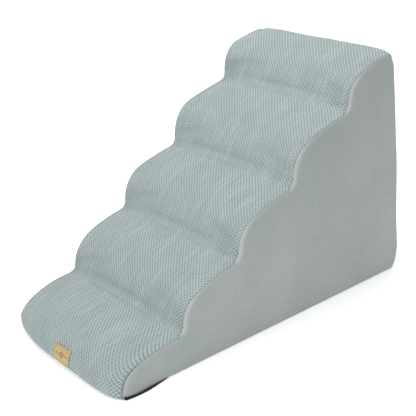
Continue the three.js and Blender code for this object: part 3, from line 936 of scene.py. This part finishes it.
def back_panel(name, path, sign, seed, material):
    """A panel on a (y, z) path down to the window's edge (sign 1) or up to it (sign -1)."""
    x = np.r_[-BACK_HALF, np.linspace(-BACK_HALF + 1.5 * MM, BACK_HALF - 1.5 * MM, 69), BACK_HALF]
    rows = len(path)
    start = path[:, 1:] - path[-1, 1]
    share = start / start[0]
    z = hem_height(x, sign)[None] * (1 - share) + (path[0, 1]) * share
    y = np.repeat(path[:, :1], len(x), 1)
    edge = BACK_HALF - np.abs(x)[None] + 0 * z
    hem = np.abs(z - hem_height(x, sign)[None])
    far = np.abs(z - path[0, 1]) if sign > 0 else np.full(z.shape, 1.0)
    points = placed(x[None] + 0 * z, y, z)
    held = [i for i in range(points[..., 0].size)
            if i // len(x) in (0, rows - 1) or i % len(x) in (0, len(x) - 1)]
    faces = grid_faces(rows, len(x))
    faces = faces[:, ::-1] if sign > 0 else faces
    moved = pressed_out(points.reshape(-1, 3), faces, held, BACK_PRESSURE, cap=BACK_CAP)
    points = points + blurred(moved.reshape(points.shape), 4)
    soft = cloudy(points.reshape(-1, 3), 80 * MM, seed).reshape(z.shape) * 0.8 * MM
    drop = SEAM_DEPTH * (1 - smoothstep(0, 5 * MM, np.minimum(edge, far)))
    drop = drop + 0.9 * MM * (1 - smoothstep(0, 1.5 * MM, hem))
    stitched = 0.35 * MM * np.exp(-((hem - HEM_STITCH) / (1.2 * MM)) ** 2)
    points[..., 1] += soft * smoothstep(0, 25 * MM, np.minimum(edge, hem)) - drop - stitched
    folded = points[-1:] + np.array([0, -1.1 * MM, sign * 0.8 * MM])
    tucked = points[:1] + np.array([0, -4 * MM, 0])
    points = np.concatenate([tucked, points, folded] if sign > 0 else [points, folded])
    # painted shade along the panel's sewn edges
    dark = 0.7 * (1 - smoothstep(0, 2.2 * MM, np.minimum(edge, far)))
    dark = np.pad(dark, ((1 if sign > 0 else 0, 1), (0, 0)), "edge")
    faces = grid_faces(*dark.shape)
    faces = faces[:, ::-1] if sign > 0 else faces
    obj = mesh_object(name, points, faces, material, seam=dark.ravel(), rub=0 * dark.ravel())
    finished(obj, "ramp", "suede", f"{name}_panel")
    path_x = np.arange(-WINDOW_SHUT, WINDOW_SHUT, 0.25 * MM)
    column = np.clip(np.searchsorted(x, path_x) - 1, 0, len(x) - 2)
    height = hem_height(path_x, sign) + sign * HEM_STITCH
    face_y = [np.interp(h, *sorted_pair(points[:, c, 2], points[:, c, 1])) for h, c in zip(height, column)]
    line = np.stack([path_x, face_y, height], 1)
    stitches(f"{name}_stitches", line, np.array([0, 1.0, 0]), 2.3 * MM, 3.2 * MM, 0.32 * MM, "suede")


def sorted_pair(keys, values):
    order = np.argsort(keys)
    return keys[order], values[order]


def backs(material):
    to_hem = np.array([5, 4, 3.2, 2.4, 1.6, 0.8, 0]) * MM
    tall = np.linspace(HEIGHT - REAR_ROLL - 0.6 * MM, ZIP_Z + ZIP_WINDOW, 66)
    close = ZIP_Z + ZIP_WINDOW + to_hem
    upper = np.concatenate([tall[tall > close[0] + 2 * MM], close])
    back_panel("back_upper", np.stack([np.full(len(upper), LENGTH), upper], 1), 1, 31, material)
    heel = arc((LENGTH - HEEL_RADIUS, HEEL_RADIUS + LIFT), HEEL_RADIUS, -90, 0, 14)
    rise = np.linspace(heel[-1, 1] + 3 * MM, ZIP_Z - ZIP_WINDOW - 6 * MM, 10)
    flat = np.concatenate([rise, ZIP_Z - ZIP_WINDOW - to_hem])
    lower = np.concatenate([heel, np.stack([np.full(len(flat), LENGTH), flat], 1)])
    back_panel("back_lower", lower, -1, 37, material)


# ======== Small sewn things ========
def capsules(middles, along, out, length, radius):
    """Points and faces of many small rounded stitches that lie along their directions."""
    side = np.cross(along, out)
    shape = [(-0.5, 0.0), (-0.36, 0.8), (0.0, 1.0), (0.36, 0.8), (0.5, 0.0)]
    sides = 6
    turns = np.arange(sides) * 2 * math.pi / sides
    points, faces = [], []
    for middle, a, o, s in zip(middles, along, out, side):
        start = len(points)
        for place, wide in shape:
            for angle in turns:
                ring = (math.cos(angle) * o + math.sin(angle) * s) * radius * max(wide, 0.25)
                points.append(middle + a * place * length + ring)
        for ring in range(len(shape) - 1):
            faces += band_faces(start + (ring + 1) * sides, start + ring * sides, sides)
        faces.append([start + i for i in reversed(range(sides))])
        faces.append([len(points) - sides + i for i in range(sides)])
    return np.array(points), faces


def stitches(name, path, out, length, pitch, radius, slot):
    """A row of stitches along a path, with the direction that faces outwards at each of its points."""
    total = lengths_along(path)[-1]
    count = int(total / pitch)
    places = (np.arange(count) + 0.5) * total / count
    middles = sampled(path, places)
    near = 0.4 * MM
    ahead = sampled(path, np.clip(places + near, 0, total)) - sampled(path, np.clip(places - near, 0, total))
    out = sampled(np.broadcast_to(out, path.shape), places)
    points, faces = capsules(middles + out * radius * 0.4, unit(ahead), out, length, radius)
    obj = mesh_object(name, points, faces, THREADS[slot])
    finished(obj, "ramp", slot)


def rounded_rectangle(half_x, half_y, corner, steps=8):
    """A closed outline of a rectangle with round corners, going anticlockwise from its right side."""
    points = []
    for number, (sx, sy) in enumerate(((1, 1), (-1, 1), (-1, -1), (1, -1))):
        centre = (sx * (half_x - corner), sy * (half_y - corner))
        points.append(arc(centre, corner, 90 * number, 90 * number + 90, steps))
    points = np.concatenate(points)
    return np.concatenate([points, points[:1]])


def label_patch(top, material):
    half = np.array([LABEL_WIDTH, LABEL_TO - LABEL_FROM]) / 2
    middle = (LABEL_FROM + LABEL_TO) / 2
    outline = rounded_rectangle(*half, LABEL_CORNER)
    outline = sampled(outline, np.linspace(0, lengths_along(outline)[-1], 97))[:-1]
    normal = -outward(outline, closed=True)
    rings, lifts, dark = [], [], []
    for inset, lift, tone in LABEL_EDGE:
        rings.append(outline - normal * inset * MM)
        lifts.append(np.full(len(outline), lift * LABEL_LIFT))
        dark.append(np.full(len(outline), tone))
    flat, faces = filled(rings, 2 * MM)
    rest = len(flat) - sum(len(r) for r in rings)
    stitch_line = np.exp(-((edge_of(flat, half, LABEL_CORNER) - 3 * MM) / (0.8 * MM)) ** 2)
    lift = np.concatenate([*lifts, np.full(rest, LABEL_LIFT)]) - 0.25 * MM * stitch_line
    points = top.lifted(flat[:, 0] + LABEL_X, flat[:, 1] + middle, lift)
    patch = np.concatenate([flat, np.zeros((len(flat), 1))], 1)
    obj = mesh_object("label", points, faces, material, patch=patch,
                      edge=np.concatenate([*dark, np.zeros(rest)]))
    finished(obj, "ramp", "label_leatherette", "label_patch")
    seam = rounded_rectangle(*(half - 3 * MM), LABEL_CORNER * 0.6)
    path = top.lifted(seam[:, 0] + LABEL_X, seam[:, 1] + middle, np.full(len(seam), LABEL_LIFT - 0.2 * MM))
    out = top.at(top.out, seam[:, 0] + LABEL_X, seam[:, 1] + middle)
    stitches("label_stitches", path, out, 2.1 * MM, 3.0 * MM, 0.35 * MM, "label_leatherette")


def edge_of(points, half, corner):
    """How far inside a rounded rectangle each point is."""
    away = np.abs(points) - (half - corner)
    outside = np.linalg.norm(np.maximum(away, 0), axis=1)
    return corner - outside - np.minimum(away.max(1), 0)


def care_tab(material):
    """A blank satin tab, sewn in under the zip window's lower edge and curling a little."""
    u = np.linspace(-0.5, 0.5, 17)[None]
    v = np.linspace(0, 1, 25)[:, None]
    z = CARE_TOP - CARE_HEIGHT * v + 0 * u
    curl = 0.7 * MM + 2.6 * MM * v ** 2 * (0.7 + 0.3 * np.sin(5 * u + 1)) + 0.4 * MM * np.sin(9 * u + 4 * v)
    points = placed(CARE_X + CARE_WIDTH * u + 1.2 * MM * v * u, np.full(z.shape, LENGTH), z)
    points[..., 1] += BACK_CAP * 0.6 + curl * v ** 0.5
    obj = mesh_object("care_tab", points, grid_faces(25, 17), material)
    finished(obj, "ramp", "care_satin", "care_label")


# ======== Foam ========
def clipped(line, lowest, furthest):
    return line[(line[:, 1] > lowest) & (line[:, 0] < furthest)]


def foam_piece(name, upper, under, top, share, node, material):
    """A closed foam solid across the ramp; its upper face rises with the cover by this share of the swell."""
    loop = np.concatenate([upper, under[::-1]])
    x = np.linspace(-FOAM_HALF, FOAM_HALF, 41)
    near = np.linalg.norm(upper[:, None] - top.line[None, ::4], axis=2).argmin(1) * 4
    places = top.along[near]
    columns = []
    for value in x:
        points = placed(np.full(len(loop), value), loop[:, 0], loop[:, 1])
        rise = top.at(top.move, np.full(len(places), value * 0.92), places)
        points[:len(upper)] += share * rise
        columns.append(points)
    points = np.stack(columns)
    count = len(loop)
    faces = []
    for column in range(len(x) - 1):
        faces += band_faces(column * count, (column + 1) * count, count)
    faces.append(list(range(count)))
    faces.append([(len(x) - 1) * count + i for i in reversed(range(count))])
    obj = mesh_object(name, points, faces, material, smooth=False)
    finished(obj, "ramp", name, node)


def foams(top):
    """The firm core in steps, and the softer layer glued over it."""
    back = LENGTH - SUEDE - BACK_SLACK
    skin = LINE - outward(LINE) * (TOP_FABRIC + 1.5 * MM)
    skin = sampled(skin, np.arange(0, lengths_along(skin)[-1], 9 * MM))
    soft = clipped(skin, FOAM_FLOOR, back)
    under = clipped(skin + np.array(COMFORT_SHIFT), FOAM_FLOOR, back)
    over_core = under + np.array([0.5 * MM, -0.5 * MM])
    foam_piece("soft_foam", soft, under, top, 0.8, "soft_foam_layer",
               foam("soft_foam", rgb(240, 235, 220), rgb(206, 197, 172), 620))
    heel = np.array([[back, FOAM_FLOOR + HEEL_RADIUS], [back - HEEL_RADIUS, FOAM_FLOOR]])
    foam_piece("firm_foam", over_core, heel[::-1], top, 0.0, "firm_foam_core",
               foam("firm_foam", rgb(228, 224, 208), rgb(190, 183, 160), 900))


# ======== The zip ========
def zip_tapes(material):
    for name, sign in (("upper", 1), ("lower", -1)):
        x = np.linspace(-TAPE_HALF, TAPE_HALF, 119)[None]
        reach = np.array([0.6, 1.2, 2, 4, 6, 8, 10, 12, 14.6])[:, None] * MM
        y = TAPE_Y + 0.15 * MM * np.sin(x / (9 * MM) + sign) * (reach > 3 * MM) + 0.2 * MM * (reach < MM)
        points = in_row(x + 0 * reach, y, ZIP_Z + sign * reach + 0 * x)
        faces = grid_faces(9, 119)
        faces = faces if sign < 0 else faces[:, ::-1]
        obj = mesh_object(f"tape_{name}", points, faces[:, ::-1], material)
        finished(obj, "ramp", "zip_tape", f"zip_tape_{name}")


def tube(path, radius, sides=6):
    """Points and faces of a closed-ended tube along a path."""
    ahead = unit(np.gradient(path, axis=0))
    first = unit(np.cross(ahead, [0.3, 0.5, 0.81]))
    second = np.cross(ahead, first)
    turns = np.arange(sides) * 2 * math.pi / sides
    rings = [path + radius * (math.cos(a) * first + math.sin(a) * second) for a in turns]
    points = np.stack(rings, 1).reshape(-1, 3)
    faces = []
    for ring in range(len(path) - 1):
        faces += band_faces((ring + 1) * sides, ring * sides, sides)
    faces.append(list(reversed(range(sides))))
    faces.append([len(points) - sides + i for i in range(sides)])
    return points, faces


def zip_coils(material):
    """Two rows of coiled nylon teeth, half a turn out of step with each other."""
    pitch, wire = 2.0 * MM, 0.3 * MM
    for name, sign in (("upper", 1), ("lower", -1)):
        x = np.arange(-ZIP_LENGTH / 2 + wire, ZIP_LENGTH / 2 - wire, pitch / 10)
        angle = 2 * math.pi * x / pitch + (math.pi if sign > 0 else 0)
        y = TEETH_BACK + 1.0 * MM + (1.0 * MM - wire) * np.sin(angle)
        z = ZIP_Z + sign * (1.9 * MM - (1.3 * MM - wire) * np.cos(angle))
        points, faces = tube(in_row(x, y, z), wire, 5)
        obj = mesh_object(f"teeth_{name}", points, faces, material)
        finished(obj, "ramp", "zip_coil", f"zip_teeth_{name}")


def pillow(outline, low, high, bevel):
    """Points and faces of a plate on a closed (x, z) outline, from low to high in y, with bevelled rims."""
    out = -outward(outline, closed=True)
    if ((outline + out * MM).max(0) < outline.max(0)).any():
        out = -out
    inner = outline - out * bevel
    levels = ((inner, low), (outline, low + bevel), (outline, high - bevel), (inner, high))
    points = np.concatenate([in_row(ring[:, 0], np.full(len(ring), y), ring[:, 1]) for ring, y in levels])
    count = len(outline)
    faces = [list(range(count)), [3 * count + i for i in reversed(range(count))]]
    for level in range(3):
        faces += band_faces(level * count, (level + 1) * count, count)
    return points, faces


def assembled(name, shells, material):
    """One object from several closed shells, with their faces turned outwards."""
    points, faces = [], []
    start = 0
    for shell_points, shell_faces in shells:
        points.append(shell_points)
        faces += [[start + i for i in face] for face in shell_faces]
        start += len(shell_points)
    obj = mesh_object(name, np.concatenate(points), faces, material)
    shape = bmesh.new()
    shape.from_mesh(obj.data)
    bmesh.ops.recalc_face_normals(shape, faces=shape.faces)
    shape.to_mesh(obj.data)
    shape.free()
    obj.data.set_sharp_from_angle(angle=math.radians(35))
    return obj


def round_plate(half_x, half_z, corner, steps, x, z, low, high, bevel):
    """A bevelled plate with round corners at a place on the back, from low to high in y."""
    outline = rounded_rectangle(half_x, half_z, corner, steps)[:-1] + np.array([x, z])
    return pillow(outline, low, high, bevel)


def zip_stops(material):
    for name, sign in (("zip_end_stop", -1), ("zip_top_stop", 1)):
        middle = sign * (ZIP_LENGTH / 2 + 2.8 * MM)
        crest = TEETH_BACK + 2.1 * MM
        body = round_plate(2.5 * MM, 4 * MM, 1.0 * MM, 6, middle, ZIP_Z, TEETH_BACK, crest, 0.4 * MM)
        ridge = round_plate(1.5 * MM, 3 * MM, 0.8 * MM, 6, middle, ZIP_Z,
                            crest - 0.2 * MM, crest + 0.5 * MM, 0.3 * MM)
        obj = assembled(name.replace("zip", "crimped"), [body, ridge], material)
        finished(obj, "ramp", "zip_metal", name)


def slider_outline():
    """The slider's shield: wide shoulders where the rows part, narrow where they come out joined."""
    upper = cubic(np.array([-7, 0]), np.array([-7, 4.2]), np.array([-4, 3.6]), np.array([0, 4.6]), 14)
    shoulder = cubic(np.array([0, 4.6]), np.array([3, 5.6]), np.array([6.8, 6.0]), np.array([7, 3.0]), 14)
    nose = cubic(np.array([7, 3.0]), np.array([6.6, 2.2]), np.array([6.1, 1.0]), np.array([6.1, 0]), 8)
    half = np.concatenate([upper, shoulder[1:], nose[1:]]) * MM
    half[:, 1] = np.minimum(half[:, 1], 5.4 * MM)
    whole = np.concatenate([half, half[::-1][1:-1] * np.array([1, -1])])
    return whole + np.array([SLIDER_X, ZIP_Z])


def zip_slider(material):
    """Two shield plates round the teeth, their side walls, the wedge between the rows, and the bridge."""
    shield = slider_outline()
    rear = TAPE_Y - 0.8 * MM
    shells = [pillow(shield, front - PLATE, front, 0.4 * MM) for front in (PLATE_FRONT, rear)]
    for sign in (1, -1):
        shells.append(round_plate(
            5.6 * MM, 0.6 * MM, 0.5 * MM, 5, SLIDER_X + 0.8 * MM, ZIP_Z + sign * 4.3 * MM,
            TEETH_BACK + 0.3 * MM, PLATE_BACK + 0.5 * MM, 0.2 * MM))
    shells.append(round_plate(
        3 * MM, 0.3 * MM, 0.28 * MM, 5, SLIDER_X + 1 * MM, ZIP_Z,
        rear - 0.3 * MM, PLATE_BACK + 0.3 * MM, 0.1 * MM))
    shells.append(bridge_arch())
    obj = assembled("slider", shells, material)
    finished(obj, "slider", "zip_metal", "zip_slider")


def bridge_arch():
    """The arch over the plate that holds the pull: a flat strap bent in one smooth curve."""
    turn = np.linspace(0, math.pi, 25)
    x = SLIDER_X - 3.4 * MM * np.cos(turn)
    y = PLATE_FRONT - 0.4 * MM + 3.0 * MM * np.clip(np.sin(turn), 0, 1) ** 0.7
    middle = np.stack([x, y], 1)
    side = outward(middle)
    points = []
    for half_z in (-0.9 * MM, 0.9 * MM):
        for thick in (-0.55 * MM, 0.55 * MM):
            bent = middle + side * thick
            points.append(in_row(bent[:, 0], bent[:, 1], np.full(len(bent), ZIP_Z + half_z)))
    order = (0, 1, 3, 2)
    rings = np.stack([points[i] for i in order], 1).reshape(-1, 3)
    faces = [[3, 2, 1, 0], [len(rings) - 4 + i for i in range(4)]]
    for ring in range(len(middle) - 1):
        faces += band_faces(4 * ring + 4, 4 * ring, 4)
    return rings, faces


def zip_pull(material):
    """The pull tab: a long rounded plate with an eye at its bridge end and three grip ribs."""
    low = PLATE_FRONT + 0.4 * MM
    high = low + PULL_THICKNESS
    eye_x = SLIDER_X - 2.95 * MM
    outer = rounded_rectangle(13.3 * MM, 3.5 * MM, 2.6 * MM, 12)[:-1]
    outer = outer + np.array([SLIDER_X - 12.7 * MM, ZIP_Z])
    narrowing = 0.78 + 0.22 * smoothstep(0, 20 * MM, SLIDER_X - outer[:, 0])
    outer[:, 1] = ZIP_Z + (outer[:, 1] - ZIP_Z) * narrowing
    direction = outer - np.array([eye_x, ZIP_Z])
    from_eye = unit(direction)
    reach = (np.abs(from_eye / np.array([2.25 * MM, 1.6 * MM])) ** 5).sum(1) ** -0.2
    inner = np.array([eye_x, ZIP_Z]) + from_eye * reach[:, None]
    bevel = 0.3 * MM
    out = outward(outer, closed=True)
    out = out if (out * direction).sum() > 0 else -out
    small, wide = outer - out * bevel, inner + from_eye * bevel
    loops = [(outer, low + bevel), (small, low), (wide, low), (inner, low + bevel),
             (inner, high - bevel), (wide, high), (small, high), (outer, high - bevel)]
    points = np.concatenate([in_row(ring[:, 0], np.full(len(ring), y), ring[:, 1]) for ring, y in loops])
    count = len(outer)
    faces = []
    for number in range(len(loops)):
        faces += band_faces(number * count, (number + 1) % len(loops) * count, count)
    shells = [(points, faces)]
    for rib in range(3):
        shells.append(round_plate(
            0.5 * MM, 2.3 * MM, 0.45 * MM, 5, SLIDER_X - (17.5 + 2.4 * rib) * MM, ZIP_Z,
            high - 0.2 * MM, high + 0.3 * MM, 0.15 * MM))
    finished(assembled("pull_tab", shells, material), "pull", "zip_metal", "zip_pull")


# ======== Camera, floor and light ========
def camera():
    data = bpy.data.cameras.new("camera")
    data.lens = CAMERA_LENS
    data.clip_end = 50
    obj = bpy.data.objects.new("camera", data)
    yaw, pitch, roll = (math.radians(a) for a in (CAMERA_YAW, CAMERA_PITCH, CAMERA_ROLL))
    aim = Euler((math.pi / 2 - pitch, 0, yaw)).to_matrix() @ Matrix.Rotation(roll, 3, "Z")
    obj.matrix_world = Matrix.Translation(CAMERA_PLACE) @ aim.to_4x4()
    bpy.context.collection.objects.link(obj)
    bpy.context.scene.camera = obj


camera()


def studio_floor():
    """White paper that glows a little, and more far away, so that it reads as a plain white ground."""
    f = Finish("floor_white", base_color=(0.93, 0.93, 0.93, 1), roughness=0.9, emission_color=(1, 1, 1, 1))
    parts = f.split(f.place())
    square = f.math("ADD", f.math("MULTIPLY", parts[0], parts[0]), f.math("MULTIPLY", parts[1], parts[1]))
    f.feed(f.ramp(f.math("SQRT", square), *FLOOR_GLOW), f.shader.inputs["Emission Strength"])
    return f.material


def floor():
    corners = [(FLOOR_HALF * x, FLOOR_HALF * y, 0) for x, y in ((-1, -1), (1, -1), (1, 1), (-1, 1))]
    mesh_object("floor", corners, [(0, 1, 2, 3)], studio_floor())


def area_light(name, place, size, power):
    data = bpy.data.lights.new(name, "AREA")
    data.shape = "DISK"
    data.size = size
    data.energy = power
    obj = bpy.data.objects.new(name, data)
    obj.location = place
    obj.rotation_euler = (Vector(LAMP_AIM) - Vector(place)).to_track_quat("-Z", "Y").to_euler()
    bpy.context.collection.objects.link(obj)


def white_surroundings():
    """A dim even light from all round, which is plain white where it is seen directly."""
    world = bpy.data.worlds.new("studio")
    world.use_nodes = True
    nodes, links = world.node_tree.nodes, world.node_tree.links
    path = nodes.new("ShaderNodeLightPath")
    strength = nodes.new("ShaderNodeMapRange")
    strength.inputs["To Min"].default_value = SURROUNDINGS
    strength.inputs["To Max"].default_value = 1.0
    nodes["Background"].inputs["Color"].default_value = (1, 1, 1, 1)
    links.new(path.outputs["Is Camera Ray"], strength.inputs["Value"])
    links.new(strength.outputs["Result"], nodes["Background"].inputs["Strength"])
    return world


def lights():
    for name, (place, size, power) in LAMPS.items():
        area_light(name, place, size, power)
    bpy.context.scene.world = white_surroundings()
    bpy.context.scene.view_settings.view_transform = "Standard"


floor()
lights()
THREADS = {
    "suede": thread("grey_thread", rgb(150, 158, 157)),
    "label_leatherette": thread("tan_thread", rgb(206, 188, 146)),
}
TOP = Top()
top_cover(TOP, textured_fabric())
SIDE = Side()
SUEDE_CLOTH = suede()
side_panel(SIDE, "right_side", 1, 11, SUEDE_CLOTH)
side_panel(SIDE, "left_side", -1, 23, SUEDE_CLOTH)
backs(SUEDE_CLOTH)
base_sheet(base_cloth())
base_dots(grip_rubber())
label_patch(TOP, leatherette())
care_tab(satin())
foams(TOP)
zip_tapes(zip_tape())
zip_coils(coil_nylon())
METAL = zip_metal()
zip_stops(METAL)
zip_slider(METAL)
zip_pull(METAL)
